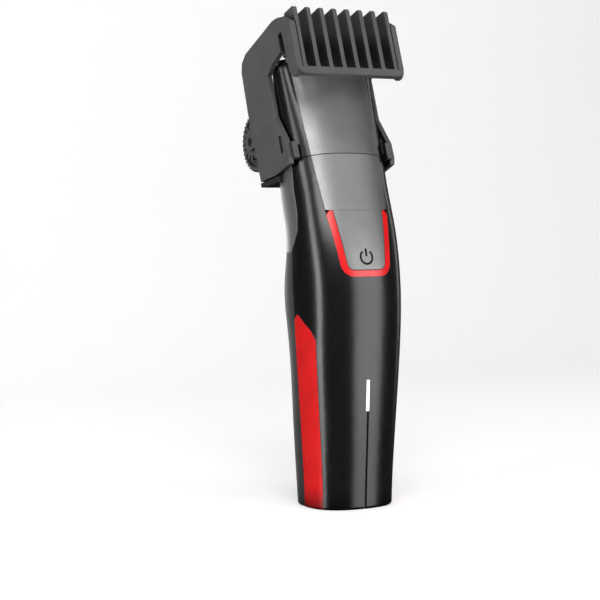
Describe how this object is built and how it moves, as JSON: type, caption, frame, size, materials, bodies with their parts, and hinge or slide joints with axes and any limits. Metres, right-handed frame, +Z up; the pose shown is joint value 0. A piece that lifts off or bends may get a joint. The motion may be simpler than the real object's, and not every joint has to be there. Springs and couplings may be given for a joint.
{
  "type": "beard trimmer",
  "caption": "Cordless beard trimmer standing on its base: bent-back tapered body, red trim, swing-lever blade head and a sliding comb guard with a zoom wheel.",
  "frame": {"origin": "centre of the flat base of the handset", "axes": "+Z up from the base, -Y towards the side with the power button, +X to the right when that side faces the viewer"},
  "size_m": [0.0432, 0.0627, 0.1753],
  "materials": {
    "gloss_black": "deep gloss black moulded ABS",
    "satin_dark": "satin dark grey moulded plastic",
    "metallic_grey": "light grey metallic paint on plastic, satin",
    "gunmetal": "dark gunmetal metallic paint on plastic, satin",
    "red": "bright red moulded plastic, gloss",
    "light_white": "translucent white light pipe",
    "guard_grey": "dark grey nylon, fine spark texture",
    "carriage_black": "black nylon, satin",
    "blade_steel": "ground stainless steel",
    "steel": "bright plated steel",
    "motor_can": "zinc-plated drawn steel",
    "inner_black": "black moulded plastic",
    "inner_white": "natural white acetal",
    "rubber_black": "black silicone rubber",
    "board_green": "green solder mask on fibreglass",
    "battery_blue": "blue shrink sleeve over a lithium cell",
    "nickel": "nickel strip",
    "wire_red": "PVC wire insulation",
    "led_white": "surface-mount light"
  },
  "bodies": {
    "handset": {"front_shell": "gloss_black", "back_cover": "satin_dark", "back_panel": "metallic_grey", "front_panel": "gunmetal", "red_trim": "red", "side_insert_left": "red", "side_insert_right": "red", "charge_light": "light_white", "base_cap": "satin_dark", "charging_jack": "inner_black", "jack_terminals": "nickel", "base_screws": "steel", "circuit_board": "board_green", "charge_led": "led_white", "tact_switch": "inner_black", "battery": "battery_blue", "battery_tabs": "nickel", "chassis": "inner_black", "board_screws": "steel", "neck_plate": "inner_black", "neck_gasket": "rubber_black", "motor": "motor_can", "motor_end_cap": "inner_white", "motor_screws": "steel", "motor_leads": "wire_red"},
    "button": {"power_button": "gunmetal"},
    "plunger": {"switch_plunger": "inner_white"},
    "rotor": {"motor_shaft": "steel", "drive_eccentric": "inner_white"},
    "head": {"head_shell": "gloss_black", "head_front_plate": "gunmetal", "blade_carrier": "inner_black", "fixed_blade": "blade_steel", "cutter_spring": "steel", "blade_screws": "steel", "lever_pin": "steel"},
    "cutting_blade": {"cutter": "blade_steel", "cutter_carrier": "inner_white"},
    "lever": {"drive_lever": "inner_white"},
    "carriage": {"guard_carriage": "carriage_black"},
    "comb": {"comb_guard": "guard_grey"},
    "wheel": {"zoom_wheel": "guard_grey", "wheel_axle": "steel"}
  },
  "joints": [
    {"name": "power_press", "type": "hinge", "parent": "handset", "child": "button", "pos_m": [0, -0.00885, 0.1045], "axis": [1, 0, 0], "range_deg": [0, 1]},
    {"name": "plunger_travel", "type": "slide", "parent": "handset", "child": "plunger", "axis": [0, 1, 0], "range_m": [0, 0.0003]},
    {"name": "rotor_spin", "type": "hinge", "parent": "handset", "child": "rotor", "pos_m": [0, 0.01187, 0.119], "axis": [0, 0.342, 0.9397], "continuous": true},
    {"name": "head_lift", "type": "slide", "parent": "handset", "child": "head", "axis": [0, 0.342, 0.9397], "range_m": [0, 0.05]},
    {"name": "cutter_travel", "type": "slide", "parent": "head", "child": "cutting_blade", "axis": [1, 0, 0], "range_m": [-0.00139, 0.00139]},
    {"name": "lever_swing", "type": "hinge", "parent": "head", "child": "lever", "pos_m": [0, 0.01273, 0.13891], "axis": [0, 0.9397, -0.342], "range_deg": [-4, 4]},
    {"name": "carriage_lift", "type": "slide", "parent": "head", "child": "carriage", "axis": [0, 0.342, 0.9397], "range_m": [0, 0.022]},
    {"name": "comb_zoom", "type": "slide", "parent": "carriage", "child": "comb", "axis": [0, 0.342, 0.9397], "range_m": [0, 0.0095]},
    {"name": "wheel_turn", "type": "hinge", "parent": "comb", "child": "wheel", "pos_m": [0, 0.0352, 0.12902], "axis": [1, 0, 0], "range_deg": [0, 91]}
  ],
  "couplings": [
    {"joint": "plunger_travel", "follows": "power_press", "m_per_rad": 0.0162},
    {"joint": "lever_swing", "follows": "cutter_travel", "rad_per_m": 50},
    {"joint": "wheel_turn", "follows": "comb_zoom", "rad_per_m": 166.67}
  ]
}
